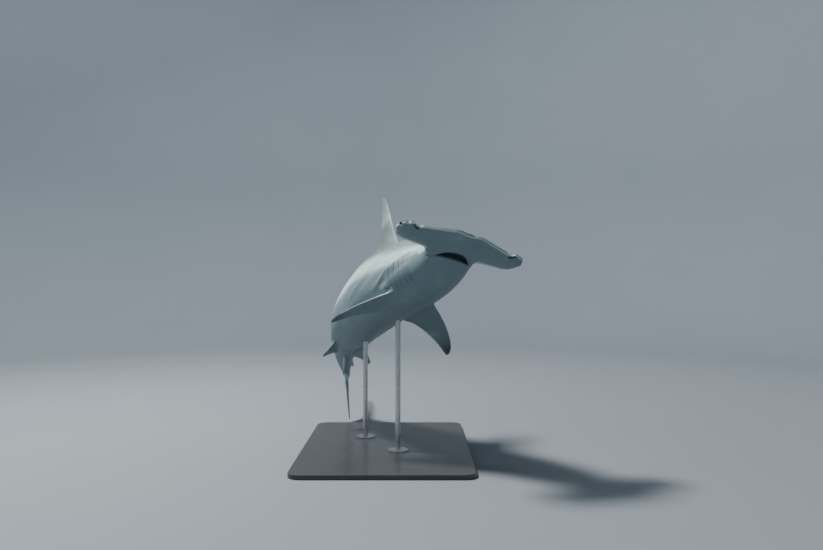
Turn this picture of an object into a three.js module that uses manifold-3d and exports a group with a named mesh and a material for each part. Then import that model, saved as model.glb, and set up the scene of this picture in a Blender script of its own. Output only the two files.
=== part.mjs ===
// Scalloped hammerhead shark, life size, as a still museum model on a display stand.
// Millimetres, +Z up. The origin is at the middle of the underside of the stand's base.
// The shark is shaped straight, then bent along its spine: s runs back from the snout,
// l to the animal's left and u towards its back.
import * as THREE from "three";
import { mergeVertices } from "three/addons/utils/BufferGeometryUtils.js";
import Module from "manifold-3d";

const wasm = await Module();
wasm.setup();

// Driving dimensions
const totalLength = 2600;
const headWidth = 0.245 * totalLength;
const gap = 0.3; // between pieces that meet
const along = (share) => share * totalLength;

// How the shark is turned on its stand, in degrees, with X right, Y to the back and Z up
const heading = 26.5; // the snout swings from straight ahead (-Y) towards +X
const climb = 23; // the snout points up
const bank = -17; // rolled on to its left side
const snoutPlace = new THREE.Vector3(421, -668, 1153);

// Bends of the body, in degrees over a stretch of its length: turn to the left, lift, and roll
const bends = [
  { from: 0.07, to: 0.21, turn: 17.5, lift: 1.8, roll: 7 },
  { from: 0.17, to: 0.4, turn: -17.3, lift: -1.4, roll: -7.2 },
  { from: 0.36, to: 0.58, turn: -9.6, lift: -9.4, roll: -3.1 },
  { from: 0.52, to: 0.75, turn: -18, lift: -3.4, roll: 9.3 },
];

// Body sections, in shares of the length: place, half width, height of the back, depth of the belly
const bodySizes = [
  [0.02, 0.014, 0.005, 0.006],
  [0.04, 0.034, 0.013, 0.012],
  [0.055, 0.039, 0.018, 0.016],
  [0.07, 0.0425, 0.024, 0.0225],
  [0.085, 0.046, 0.031, 0.0325],
  [0.1, 0.049, 0.038, 0.042],
  [0.14, 0.056, 0.054, 0.056],
  [0.18, 0.0615, 0.067, 0.066],
  [0.22, 0.065, 0.0765, 0.0715],
  [0.27, 0.067, 0.0835, 0.0745],
  [0.32, 0.068, 0.086, 0.075],
  [0.38, 0.066, 0.0835, 0.0735],
  [0.44, 0.062, 0.077, 0.07],
  [0.5, 0.0555, 0.069, 0.061],
  [0.56, 0.0435, 0.055, 0.045],
  [0.62, 0.0285, 0.039, 0.029],
  [0.67, 0.0185, 0.029, 0.0215],
  [0.71, 0.0115, 0.024, 0.018],
  [0.74, 0.0055, 0.023, 0.012],
  [0.765, 0.0018, 0.025, 0.004],
];
const bodySides = 36;
const bodyStart = 0.02;
const headEnd = 0.138;
const gillEnd = 0.222;
const trunkEnd = 0.48;
const stemEnd = 0.695;
const bodyEnd = 0.765;

// Cubic interpolation through a table's rows that never overshoots, by column
function along1d(rows, column) {
  const x = rows.map((row) => row[0]);
  const y = rows.map((row) => row[column]);
  const last = x.length - 1;
  const step = x.slice(1).map((value, i) => value - x[i]);
  const rise = y.slice(1).map((value, i) => (value - y[i]) / step[i]);
  const slope = y.map((_, i) => {
    if (i === 0) return rise[0];
    if (i === last) return rise[last - 1];
    if (rise[i - 1] * rise[i] <= 0) return 0;
    return (2 * rise[i - 1] * rise[i]) / (rise[i - 1] + rise[i]);
  });
  return (at) => {
    const place = THREE.MathUtils.clamp(at, x[0], x[last]);
    let i = 0;
    while (i < last - 1 && place > x[i + 1]) i += 1;
    const h = step[i];
    const t = (place - x[i]) / h;
    const t2 = t * t;
    const t3 = t2 * t;
    return (
      (2 * t3 - 3 * t2 + 1) * y[i] +
      (t3 - 2 * t2 + t) * h * slope[i] +
      (-2 * t3 + 3 * t2) * y[i + 1] +
      (t3 - t2) * h * slope[i + 1]
    );
  };
}

// The spine: a point and an orientation for each small step of the body's length
const spineSteps = 400;
const spine = (() => {
  const rad = THREE.MathUtils.degToRad;
  const frames = [];
  const nose = new THREE.Vector3(
    Math.sin(rad(heading)) * Math.cos(rad(climb)),
    -Math.cos(rad(heading)) * Math.cos(rad(climb)),
    Math.sin(rad(climb)),
  );
  const left = new THREE.Vector3(Math.cos(rad(heading)), Math.sin(rad(heading)), 0);
  const up = new THREE.Vector3().crossVectors(nose, left);
  const basis = new THREE.Matrix4().makeBasis(nose, left, up);
  const turned = new THREE.Quaternion().setFromRotationMatrix(basis);
  turned.multiply(new THREE.Quaternion().setFromAxisAngle(new THREE.Vector3(1, 0, 0), rad(bank)));
  const point = snoutPlace.clone();
  const step = totalLength / spineSteps;
  const weight = ({ from, to }, share) => {
    const x = (share - from) / (to - from);
    return x > 0 && x < 1 ? (2 * Math.sin(Math.PI * x) ** 2) / (to - from) / spineSteps : 0;
  };
  for (let i = 0; i <= spineSteps; i += 1) {
    frames.push({ point: point.clone(), turned: turned.clone() });
    const share = (i + 0.5) / spineSteps;
    const twist = new THREE.Vector3();
    for (const bend of bends) {
      const w = rad(weight(bend, share));
      twist.add(new THREE.Vector3(bend.roll, bend.lift, bend.turn).multiplyScalar(w));
    }
    const angle = twist.length();
    const half = new THREE.Quaternion();
    if (angle > 0) half.setFromAxisAngle(twist.clone().normalize(), angle / 2);
    turned.multiply(half);
    point.addScaledVector(new THREE.Vector3(1, 0, 0).applyQuaternion(turned), -step);
    turned.multiply(half);
  }
  return frames;
})();

// A place on the bent body, from its place on the straight one
function onBody(s, l, u) {
  const at = THREE.MathUtils.clamp((s / totalLength) * spineSteps, 0, spineSteps);
  const i = Math.min(Math.floor(at), spineSteps - 1);
  const k = at - i;
  const point = spine[i].point.clone().lerp(spine[i + 1].point, k);
  const turned = spine[i].turned.clone().slerp(spine[i + 1].turned, k);
  const beyond = s - (at / spineSteps) * totalLength;
  return new THREE.Vector3(-beyond, l, u).applyQuaternion(turned).add(point);
}

// The same for a stiff piece, which keeps its shape and follows the spine only at one station
function stiffAt(station) {
  const { point, turned } = spine[Math.round((station / totalLength) * spineSteps)];
  const start = (Math.round((station / totalLength) * spineSteps) / spineSteps) * totalLength;
  return (s, l, u) => new THREE.Vector3(start - s, l, u).applyQuaternion(turned).add(point);
}

// A closed skin over rings of points, with a flat fan at each end
function loft(rings) {
  const sides = rings[0].length;
  const points = rings.flat();
  const faces = [];
  for (let r = 0; r + 1 < rings.length; r += 1) {
    for (let i = 0; i < sides; i += 1) {
      const a = r * sides + i;
      const b = r * sides + ((i + 1) % sides);
      faces.push(a, b, a + sides, b, b + sides, a + sides);
    }
  }
  for (const [ring, flip] of [[0, true], [rings.length - 1, false]]) {
    const middle = new THREE.Vector3();
    for (const p of rings[ring]) middle.addScaledVector(p, 1 / sides);
    points.push(middle);
    const hub = points.length - 1;
    for (let i = 0; i < sides; i += 1) {
      const a = ring * sides + i;
      const b = ring * sides + ((i + 1) % sides);
      faces.push(...(flip ? [hub, b, a] : [hub, a, b]));
    }
  }
  return new THREE.BufferGeometry().setFromPoints(points).setIndex(faces);
}

// To and from a solid that can be joined and cut
function solidOf(geometry) {
  const bare = geometry.clone();
  bare.deleteAttribute("normal");
  bare.deleteAttribute("uv");
  const merged = mergeVertices(bare, 1e-3);
  const triVerts = new Uint32Array(merged.index.array);
  const vertProperties = merged.attributes.position.array;
  const solid = new wasm.Manifold(new wasm.Mesh({ numProp: 3, vertProperties, triVerts }));
  if (solid.volume() > 0) return solid;
  for (let i = 0; i < triVerts.length; i += 3) {
    [triVerts[i + 1], triVerts[i + 2]] = [triVerts[i + 2], triVerts[i + 1]];
  }
  return new wasm.Manifold(new wasm.Mesh({ numProp: 3, vertProperties, triVerts }));
}

function geometryOf(solid) {
  const largest = solid.decompose().sort((a, b) => b.volume() - a.volume())[0];
  const mesh = largest.getMesh();
  const geometry = new THREE.BufferGeometry();
  geometry.setAttribute("position", new THREE.BufferAttribute(mesh.vertProperties, 3));
  geometry.setIndex(new THREE.BufferAttribute(mesh.triVerts, 1));
  geometry.computeVertexNormals();
  return geometry;
}

// Trunk
const halfWidth = along1d(bodySizes, 1);
const backHeight = along1d(bodySizes, 2);
const bellyDepth = along1d(bodySizes, 3);
const widestDrop = 0.1; // the widest level, below the axis, as a share of the belly's depth
const backRoundness = 2.05;
const bellyRoundness = 2.05;

function sectionPoint(share, angle, grow) {
  const c = Math.cos(angle);
  const v = Math.sin(angle);
  const power = 2 / (v > 0 ? backRoundness : bellyRoundness);
  const widest = -widestDrop * along(bellyDepth(share));
  const tall = v > 0 ? along(backHeight(share)) - widest : along(bellyDepth(share)) + widest;
  const l = Math.sign(c) * Math.abs(c) ** power * (along(halfWidth(share)) + grow);
  const u = widest + Math.sign(v) * Math.abs(v) ** power * (tall + grow);
  return { l, u };
}

function bodyRing(share, grow, shape = () => ({ back: 0, out: 0 })) {
  return Array.from({ length: bodySides }, (_, i) => {
    const angle = (2 * Math.PI * i) / bodySides;
    const { back, out } = shape(angle);
    const { l, u } = sectionPoint(share, angle, grow + out);
    return onBody(along(share) + back, l, u);
  });
}

function stations(from, to, count) {
  return Array.from({ length: count + 1 }, (_, i) => from + ((to - from) * i) / count);
}

// Gills: five slits a side, each under the free hind edge of a low flap
const gills = {
  first: 0.152,
  pitch: 0.0134,
  slits: 5,
  tops: [0.38, 0.14], // ends of the first and the last slit, as heights on the section
  bottoms: [-0.7, -0.66],
  flapRise: 5,
  slitDepth: 8,
  slitWidth: 6,
  bow: 12, // the middle of a slit lies this much further back
};

function gillShare(slit, angle) {
  const place = slit / (gills.slits - 1);
  const top = gills.tops[0] + (gills.tops[1] - gills.tops[0]) * place;
  const bottom = gills.bottoms[0] + (gills.bottoms[1] - gills.bottoms[0]) * place;
  const x = (Math.sin(angle) * 2 - top - bottom) / (top - bottom);
  return Math.abs(x) < 1 ? (1 - x * x) ** 0.6 : 0;
}

function gillRings(grow) {
  const rings = [];
  for (let i = 0; i < gills.slits; i += 1) {
    const edge = gills.first + gills.pitch * i;
    const bowed = (out) => (angle) => ({
      back: gills.bow * gillShare(i, angle),
      out: out * gillShare(i, angle),
    });
    rings.push(bodyRing(edge, grow, bowed(gills.flapRise)));
    rings.push(bodyRing(edge + gills.slitWidth / totalLength, grow, bowed(-gills.slitDepth)));
  }
  return rings;
}

function plainRings(from, to, count, grow) {
  return stations(from, to, count).map((share) => bodyRing(share, grow));
}

const halfGap = gap / 2 / totalLength;
const segments = {
  front: (grow) => plainRings(bodyStart, headEnd - halfGap, 9, grow),
  gills: (grow) => [
    bodyRing(headEnd + halfGap, grow),
    ...gillRings(grow),
    bodyRing(gillEnd - halfGap, grow),
  ],
  trunk: (grow) => plainRings(gillEnd + halfGap, trunkEnd - halfGap, 14, grow),
  stem: (grow) => plainRings(trunkEnd + halfGap, stemEnd - halfGap, 11, grow),
  end: (grow) => plainRings(stemEnd + halfGap, bodyEnd, 4, grow),
};
const solidBody = Object.fromEntries(
  Object.entries(segments).map(([name, rings]) => [name, solidOf(loft(rings(0)))]),
);
const grownBody = solidOf(
  loft([
    ...segments.front(gap),
    ...gillRings(gap),
    ...segments.trunk(gap),
    ...segments.stem(gap),
    ...segments.end(gap).slice(1),
  ]),
);

// Head: a wing across the snout, in shares of its width, by place out from the middle:
// front edge, hind edge and thickness
const wingSizes = [
  [0, 0.019, 0.42, 0.086],
  [0.06, 0.018, 0.42, 0.086],
  [0.13, 0.004, 0.42, 0.085],
  [0.2, 0.006, 0.4, 0.083],
  [0.3, 0.026, 0.37, 0.08],
  [0.4, 0.042, 0.352, 0.076],
  [0.5, 0.06, 0.344, 0.072],
  [0.6, 0.076, 0.338, 0.068],
  [0.69, 0.089, 0.334, 0.066],
  [0.745, 0.112, 0.332, 0.063],
  [0.785, 0.11, 0.331, 0.063],
  [0.84, 0.08, 0.332, 0.067],
  [0.88, 0.083, 0.326, 0.068],
  [0.925, 0.101, 0.314, 0.066],
  [0.955, 0.105, 0.303, 0.064],
  [0.985, 0.121, 0.277, 0.056],
  [1, 0.157, 0.242, 0.04],
];
const wingFront = along1d(wingSizes, 1);
const wingHind = along1d(wingSizes, 2);
const wingThick = along1d(wingSizes, 3);
const wingDrop = 8; // the wing's level, below the body's axis
const wingHindEdge = 4;
const wingSections = 44;
const wingSides = 18;
const onHead = stiffAt(0);

// Half the thickness of a blade at a share of its chord, for a thickness of 1
function bladeProfile(c, edge) {
  const root = 2.969 * Math.sqrt(c);
  const body = root - 1.26 * c - 3.516 * c ** 2 + 2.843 * c ** 3 - 1.036 * c ** 4;
  return 0.5 * body + edge * c;
}

function bladeSection(sides, place) {
  return Array.from({ length: sides }, (_, i) => {
    const angle = (2 * Math.PI * i) / sides;
    const edge = i === 0 || 2 * i === sides;
    const side = 2 * i < sides ? 1 : -1;
    return place((1 - Math.cos(angle)) / 2, edge ? 0 : side);
  });
}

function headWing() {
  const rings = stations(-1, 1, wingSections).map((x) => {
    const t = Math.sin((Math.PI / 2) * x);
    const out = Math.abs(t);
    const front = wingFront(out) * headWidth;
    const chord = wingHind(out) * headWidth - front;
    const thick = wingThick(out) * headWidth;
    return bladeSection(wingSides, (c, side) => {
      const half = side * bladeProfile(c, wingHindEdge / thick / 2) * thick;
      return onHead(front + c * chord, (t * headWidth) / 2, half - wingDrop);
    });
  });
  return solidOf(loft(rings));
}

// A tube of changing radius, in the head's own places; each point is back, aside, up and radius
function tube(points, sides) {
  const rings = points.map(([s, l, u, radius]) =>
    Array.from({ length: sides }, (_, i) => {
      const angle = (2 * Math.PI * i) / sides;
      return onHead(s + radius * Math.cos(angle), l, u + radius * Math.sin(angle));
    }),
  );
  return solidOf(loft(rings));
}

// Mouth: a crescent under the head, open a little, with a lip along each edge
const mouth = {
  front: 0.051,
  corner: 0.079,
  halfWidth: 0.035,
  gape: 52,
  depth: 94,
  roof: -12,
  level: -45, // the height at which the two edges are measured
  lean: 0.4, // how far the hollow leans back for each mm that it rises
  steps: 14,
  lip: 6,
  lipReach: 1.06,
  lipSunk: 2, // how far the middle of a lip lies inside the skin
  lipSides: 8,
};

function undersideAt(share, l) {
  const widest = -widestDrop * along(bellyDepth(share));
  const x = Math.min(Math.abs(l) / along(halfWidth(share)), 1);
  const drop = (1 - x ** bellyRoundness) ** (1 / bellyRoundness);
  return widest - drop * (along(bellyDepth(share)) + widest);
}

// The upper or lower edge of the mouth, from one corner to the other or a little past them
function mouthEdge(middle, reach) {
  return stations(-reach, reach, mouth.steps).map((x) => {
    const s = middle + (along(mouth.corner) - middle) * x * x;
    return [s, x * along(mouth.halfWidth)];
  });
}

const upperMiddle = along(mouth.front);
const lowerMiddle = upperMiddle + mouth.gape;
const leaning = (s, u) => s + mouth.lean * (u - mouth.level);

function mouthHollow() {
  const outline = [
    ...mouthEdge(upperMiddle, 1),
    ...mouthEdge(lowerMiddle, 1).slice(1, -1).reverse(),
  ];
  const ring = (u) => outline.map(([s, l]) => onHead(leaning(s, u), l, u));
  return solidOf(loft([ring(-mouth.depth), ring(mouth.roof)]));
}

function lip(middle) {
  const points = mouthEdge(middle, mouth.lipReach).map(([s, l], i, edge) => {
    const fullness = 0.5 + 0.5 * Math.sin((Math.PI * i) / (edge.length - 1));
    const u = undersideAt(s / totalLength, l);
    return [leaning(s, u), l, u + mouth.lipSunk, mouth.lip * fullness];
  });
  return tube(points, mouth.lipSides);
}

// Nostrils: each opens on the front edge close to the eye and runs inwards as a groove
const nostril = { drop: 15, inset: 2, steps: 12, sides: 10 };
const nostrilSizes = [
  [0.57, 1.5], // place out along the wing and radius
  [0.67, 3],
  [0.735, 6],
  [0.785, 9],
  [0.825, 7],
  [0.86, 2],
];
const nostrilRadius = along1d(nostrilSizes, 1);

function nostrilCut(side) {
  const [from, to] = [nostrilSizes[0][0], nostrilSizes.at(-1)[0]];
  const points = stations(from, to, nostril.steps).map((out) => [
    wingFront(out) * headWidth + nostril.inset,
    (side * out * headWidth) / 2,
    -nostril.drop,
    nostrilRadius(out),
  ]);
  return tube(points, nostril.sides);
}

// Eyes: at the front corners of the wing's ends, each in a raised ring of lid
const eye = { radius: 16, out: 0.965, back: 0.148, forward: 32, facets: 20 };
const eyelid = { thick: 3.2, out: 6, facets: 8 };

function eyeCentre(side, further = 0) {
  const look = THREE.MathUtils.degToRad(eye.forward);
  const back = eye.back * headWidth - further * Math.sin(look);
  const aside = (eye.out * headWidth) / 2 + further * Math.cos(look);
  return onHead(back, side * aside, -wingDrop);
}

function eyeBall(side, grow) {
  const ball = new THREE.SphereGeometry(eye.radius + grow, eye.facets, eye.facets / 2);
  return solidOf(ball.applyQuaternion(spine[0].turned).translate(...eyeCentre(side)));
}

function eyeLid(side) {
  const ring = new THREE.TorusGeometry(eye.radius, eyelid.thick, eyelid.facets, eye.facets);
  ring.rotateX(Math.PI / 2).rotateZ(-side * THREE.MathUtils.degToRad(eye.forward));
  ring.applyQuaternion(spine[0].turned).translate(...eyeCentre(side, eyelid.out));
  return solidOf(ring);
}

function head() {
  let solid = solidBody.front.add(headWing());
  solid = solid.add(lip(upperMiddle)).add(lip(lowerMiddle)).subtract(mouthHollow());
  for (const side of [-1, 1]) {
    solid = solid.subtract(nostrilCut(side)).add(eyeLid(side)).subtract(eyeBall(side, gap));
  }
  return solid;
}

// Fins: rows give the place out along the fin, its front edge, its hind edge and its thickness,
// all in shares of the body's length apart from the first, a share of the fin's own reach
const finSides = 18;
const finHindEdge = 2.5;
const finStep = 0.12; // rows further apart than this get one more section between them
const rootSunk = 40;

// One section of a fin at a share of its reach; place takes back, aside and out
function finRing(fin, v, height, grow = 0) {
  const front = along(fin.front(v)) - grow;
  const chord = along(fin.hind(v)) + grow - front;
  const full = along(fin.thick(v));
  return bladeSection(finSides, (c, side) => {
    const half = bladeProfile(c, finHindEdge / full / 2) * full + grow;
    return fin.place(front + c * chord, side * half, height);
  });
}

function finShape(rows, reachShare, place) {
  const [front, hind, thick] = [1, 2, 3].map((column) => along1d(rows, column));
  return { rows, reach: along(reachShare), place, front, hind, thick };
}

// A fin that grows out of the body, its root sunk in and then cut off at the body's surface
function rootedFin(fin) {
  const levels = fin.rows.flatMap(([v], i) => {
    const next = fin.rows[i + 1]?.[0] ?? v;
    return next - v > finStep ? [v, (v + next) / 2] : [v];
  });
  const rings = levels.map((v) => finRing(fin, v, v * fin.reach));
  return solidOf(loft([finRing(fin, 0, -rootSunk), ...rings])).subtract(grownBody);
}

// Fins on the midline stand straight up from the back, or down from the belly
function midlineFin({ rows, reachShare, base, up, onPlace }) {
  const place = (s, half, height) => onPlace(s, half, up * (along(base) + height));
  return rootedFin(finShape(rows, reachShare, place));
}

const firstDorsalRows = [
  [0, 0.262, 0.37, 0.0145],
  [0.05, 0.268, 0.4, 0.0132],
  [0.12, 0.275, 0.402, 0.0118],
  [0.17, 0.28, 0.385, 0.011],
  [0.3, 0.293, 0.364, 0.0095],
  [0.5, 0.312, 0.36, 0.0075],
  [0.7, 0.33, 0.3635, 0.0055],
  [0.88, 0.348, 0.37, 0.0035],
  [0.97, 0.36, 0.3745, 0.0022],
  [1, 0.366, 0.3745, 0.0015],
];
const secondDorsalRows = [
  [0, 0.602, 0.645, 0.006],
  [0.15, 0.606, 0.675, 0.005],
  [0.32, 0.611, 0.661, 0.0045],
  [0.6, 0.62, 0.648, 0.0035],
  [0.9, 0.632, 0.643, 0.002],
  [1, 0.637, 0.642, 0.0015],
];
const analRows = [
  [0, 0.585, 0.636, 0.007],
  [0.12, 0.591, 0.658, 0.006],
  [0.25, 0.598, 0.646, 0.005],
  [0.5, 0.611, 0.636, 0.004],
  [0.8, 0.625, 0.638, 0.0025],
  [1, 0.637, 0.643, 0.0015],
];

const firstDorsal = {
  rows: firstDorsalRows,
  reachShare: 0.17,
  base: 0.087,
  up: 1,
  onPlace: stiffAt(along(0.31)),
};
const secondDorsal = {
  rows: secondDorsalRows,
  reachShare: 0.028,
  base: 0.036,
  up: 1,
  onPlace: onBody,
};
const anal = { rows: analRows, reachShare: 0.036, base: 0.028, up: -1, onPlace: onBody };

// Paired fins: each is flat in its own plane, set on the body by a root and three angles in degrees
function pairedFin({ rows, reachShare, root, station, dip, sweep, nose }, side) {
  const rad = THREE.MathUtils.degToRad;
  const onStation = stiffAt(along(station));
  const out = new THREE.Vector3(0, side * Math.cos(rad(dip)), -Math.sin(rad(dip)));
  const chord = new THREE.Vector3(1, 0, 0);
  const face = new THREE.Vector3().crossVectors(chord, out).multiplyScalar(side);
  const spanTurn = new THREE.Quaternion().setFromAxisAngle(face, rad(-side * sweep));
  const noseTurn = new THREE.Quaternion().setFromAxisAngle(out, rad(side * nose));
  for (const axis of [chord, out, face]) axis.applyQuaternion(spanTurn).applyQuaternion(noseTurn);
  const [rootBack, rootOut, rootDown] = root.map(along);
  const place = (s, half, height) => {
    const back = rootBack + chord.x * s + face.x * half + out.x * height;
    const aside = side * rootOut + chord.y * s + face.y * half + out.y * height;
    const rise = -rootDown + chord.z * s + face.z * half + out.z * height;
    return onStation(back, aside, rise);
  };
  return rootedFin(finShape(rows, reachShare, place));
}

const pectoralRows = [
  [0, 0, 0.07, 0.0125],
  [0.05, 0.002, 0.093, 0.0115],
  [0.13, 0.005, 0.086, 0.0105],
  [0.24, 0.01, 0.08, 0.009],
  [0.4, 0.0185, 0.0775, 0.0075],
  [0.6, 0.032, 0.0785, 0.0055],
  [0.8, 0.05, 0.082, 0.0035],
  [0.94, 0.0675, 0.0865, 0.0022],
  [1, 0.08, 0.0885, 0.0015],
];
const pelvicRows = [
  [0, 0, 0.05, 0.008],
  [0.08, 0.003, 0.078, 0.0065],
  [0.2, 0.007, 0.073, 0.006],
  [0.5, 0.018, 0.06, 0.0045],
  [0.8, 0.0295, 0.0515, 0.003],
  [0.94, 0.036, 0.0485, 0.002],
  [1, 0.04, 0.0465, 0.0015],
];
const pectoral = {
  rows: pectoralRows,
  reachShare: 0.134,
  root: [0.205, 0.047, 0.048], // back, aside and down
  station: 0.235,
};
const pectorals = {
  right: { ...pectoral, dip: 7.5, sweep: 38, nose: 12 },
  left: { ...pectoral, dip: 24.6, sweep: 0.4, nose: 7 },
};
const pelvic = {
  rows: pelvicRows,
  reachShare: 0.046,
  root: [0.516, 0.029, 0.038],
  station: 0.53,
};
const pelvics = {
  right: { ...pelvic, dip: 47, sweep: 13, nose: 4 },
  left: { ...pelvic, dip: 32, sweep: 11, nose: 0 },
};

// Tail fin: a long upper lobe with a notch near its tip, and a short lower lobe
const upperLobeRows = [
  [0, -0.024, 0.03, 0.016],
  [0.1, -0.023, 0.036, 0.0125],
  [0.22, -0.024, 0.034, 0.0095],
  [0.4, -0.026, 0.018, 0.0075],
  [0.6, -0.026, 0.007, 0.0055],
  [0.76, -0.024, 0.003, 0.0045],
  [0.81, -0.022, -0.003, 0.004],
  [0.86, -0.019, 0.006, 0.0035],
  [0.93, -0.014, 0.009, 0.0025],
  [0.985, -0.004, 0.007, 0.0018],
  [1, 0.001, 0.005, 0.0015],
];
const lowerLobeRows = [
  [0, -0.018, 0.085, 0.012],
  [0.2, -0.016, 0.06, 0.009],
  [0.4, -0.012, 0.036, 0.007],
  [0.6, -0.007, 0.022, 0.005],
  [0.8, -0.001, 0.0135, 0.0035],
  [0.94, 0.004, 0.0095, 0.002],
  [1, 0.007, 0.009, 0.0015],
];
const lobeSections = 14;
const upperLobe = lobe(upperLobeRows, 0.285, { back: 0.7, up: 0.003, rise: 33 });
const lowerLobe = lobe(lowerLobeRows, 0.135, { back: 0.7, up: 0, rise: -55 });

function lobe(rows, reachShare, { back, up, rise }) {
  const angle = THREE.MathUtils.degToRad(rise);
  const [run, lift] = [Math.cos(angle), Math.sin(angle)];
  const flip = Math.sign(rise);
  const place = (chord, half, height) => {
    const s = along(back) + run * height + flip * lift * chord;
    const u = along(up) + lift * height - flip * run * chord;
    return onBody(s, half, u);
  };
  return finShape(rows, reachShare, place);
}

function lobeSolid(fin, grow) {
  const rings = stations(0, 1, lobeSections).map((v) => finRing(fin, v, v * fin.reach, grow));
  return solidOf(loft(rings));
}

function tailFins() {
  const stem = solidOf(loft(segments.stem(gap)));
  const upper = solidBody.end.add(lobeSolid(upperLobe, 0)).subtract(stem);
  const grownUpper = solidOf(loft(segments.end(gap))).add(lobeSolid(upperLobe, gap));
  return { upper, lower: lobeSolid(lowerLobe, 0).subtract(grownUpper).subtract(stem) };
}

// Stand: a flat base and two rods up to the belly, each on a round foot plate
const base = { width: 900, length: 1250, thick: 24, corner: 60, cornerFacets: 8, bevel: 3 };
const rod = { radius: 14, facets: 24, plateRadius: 55, plateThick: 8, plateFacets: 32 };
const rodShares = { front: 0.26, rear: 0.42 }; // where each stands under the body

function standBase() {
  const [w, d] = [base.width / 2 - base.bevel, base.length / 2 - base.bevel];
  const r = base.corner - base.bevel;
  const outline = new THREE.Shape()
    .moveTo(-w + r, -d)
    .lineTo(w - r, -d)
    .absarc(w - r, -d + r, r, -Math.PI / 2, 0)
    .absarc(w - r, d - r, r, 0, Math.PI / 2)
    .absarc(-w + r, d - r, r, Math.PI / 2, Math.PI)
    .absarc(-w + r, -d + r, r, Math.PI, 1.5 * Math.PI);
  const board = new THREE.ExtrudeGeometry(outline, {
    depth: base.thick - 2 * base.bevel,
    bevelThickness: base.bevel,
    bevelSize: base.bevel,
    bevelSegments: 2,
    curveSegments: base.cornerFacets,
  });
  return board.translate(0, 0, base.bevel);
}

function standRod(share) {
  const top = onBody(along(share), 0, 0);
  const low = base.thick + gap;
  const upright = (radius, height, facets) => {
    const cylinder = new THREE.CylinderGeometry(radius, radius, height, facets);
    return solidOf(cylinder.rotateX(Math.PI / 2).translate(top.x, top.y, low + height / 2));
  };
  const shaft = upright(rod.radius, top.z - low, rod.facets);
  const plate = upright(rod.plateRadius, rod.plateThick, rod.plateFacets);
  const pieces = shaft.add(plate).subtract(grownBody).decompose();
  return pieces.sort((a, b) => a.boundingBox().min[2] - b.boundingBox().min[2])[0];
}

// Materials
const skin = new THREE.MeshStandardMaterial({ color: 0x7f8b8a, roughness: 0.55 });
const finSkin = new THREE.MeshStandardMaterial({ color: 0x66737a, roughness: 0.55 });
const eyeBlack = new THREE.MeshStandardMaterial({ color: 0x14161a, roughness: 0.1 });
const baseWood = new THREE.MeshStandardMaterial({ color: 0x2a2c2f, roughness: 0.5 });
const rodSteel = new THREE.MeshStandardMaterial({ color: 0x8f9396, roughness: 0.3, metalness: 1 });

const shark = new THREE.Group();

function addPiece(name, geometry, material) {
  const mesh = new THREE.Mesh(geometry, material);
  mesh.name = name;
  shark.add(mesh);
}

addPiece("head", geometryOf(head()), skin);
addPiece("gill_region", geometryOf(solidBody.gills), skin);
addPiece("trunk", geometryOf(solidBody.trunk), skin);
addPiece("tail_stem", geometryOf(solidBody.stem), skin);
const tail = tailFins();
addPiece("caudal_fin_upper_lobe", geometryOf(tail.upper), finSkin);
addPiece("caudal_fin_lower_lobe", geometryOf(tail.lower), finSkin);
addPiece("first_dorsal_fin", geometryOf(midlineFin(firstDorsal)), finSkin);
addPiece("second_dorsal_fin", geometryOf(midlineFin(secondDorsal)), finSkin);
addPiece("anal_fin", geometryOf(midlineFin(anal)), finSkin);
for (const [name, side] of [["right", -1], ["left", 1]]) {
  addPiece(`pectoral_fin_${name}`, geometryOf(pairedFin(pectorals[name], side)), finSkin);
  addPiece(`pelvic_fin_${name}`, geometryOf(pairedFin(pelvics[name], side)), finSkin);
  addPiece(`eye_${name}`, geometryOf(eyeBall(side, 0)), eyeBlack);
}
addPiece("stand_base", standBase(), baseWood);
addPiece("stand_rod_front", geometryOf(standRod(rodShares.front)), rodSteel);
addPiece("stand_rod_rear", geometryOf(standRod(rodShares.rear)), rodSteel);

export default shark;
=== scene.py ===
import math

import bpy
import numpy as np
from mathutils import Matrix, Vector


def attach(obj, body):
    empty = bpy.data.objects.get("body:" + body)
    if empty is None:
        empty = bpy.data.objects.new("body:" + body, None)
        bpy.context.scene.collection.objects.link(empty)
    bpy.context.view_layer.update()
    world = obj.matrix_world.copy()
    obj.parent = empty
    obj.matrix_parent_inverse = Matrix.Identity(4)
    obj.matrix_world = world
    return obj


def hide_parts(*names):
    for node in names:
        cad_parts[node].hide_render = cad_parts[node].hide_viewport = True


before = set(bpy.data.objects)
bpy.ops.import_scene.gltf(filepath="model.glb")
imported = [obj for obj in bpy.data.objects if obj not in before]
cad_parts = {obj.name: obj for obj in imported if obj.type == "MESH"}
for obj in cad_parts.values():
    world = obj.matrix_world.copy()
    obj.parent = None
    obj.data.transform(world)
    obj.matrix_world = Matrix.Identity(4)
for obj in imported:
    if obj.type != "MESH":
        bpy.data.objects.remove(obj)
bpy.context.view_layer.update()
print("frame loaded with", len(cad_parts), "nodes")

view = {"place": (0.14, -4.085, 0.96), "focalPixels": 740, "frameWidth": 823, "sensorWidth": 36}


def makeCamera():
    data = bpy.data.cameras.new("camera")
    data.sensor_width = view["sensorWidth"]
    data.lens = view["focalPixels"] / view["frameWidth"] * view["sensorWidth"]
    camera = bpy.data.objects.new("camera", data)
    camera.location = view["place"]
    camera.rotation_euler = (math.pi / 2, 0, 0)  # level, looking along +Y
    bpy.context.scene.collection.objects.link(camera)
    bpy.context.scene.camera = camera


makeCamera()
print("camera placed")

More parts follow.
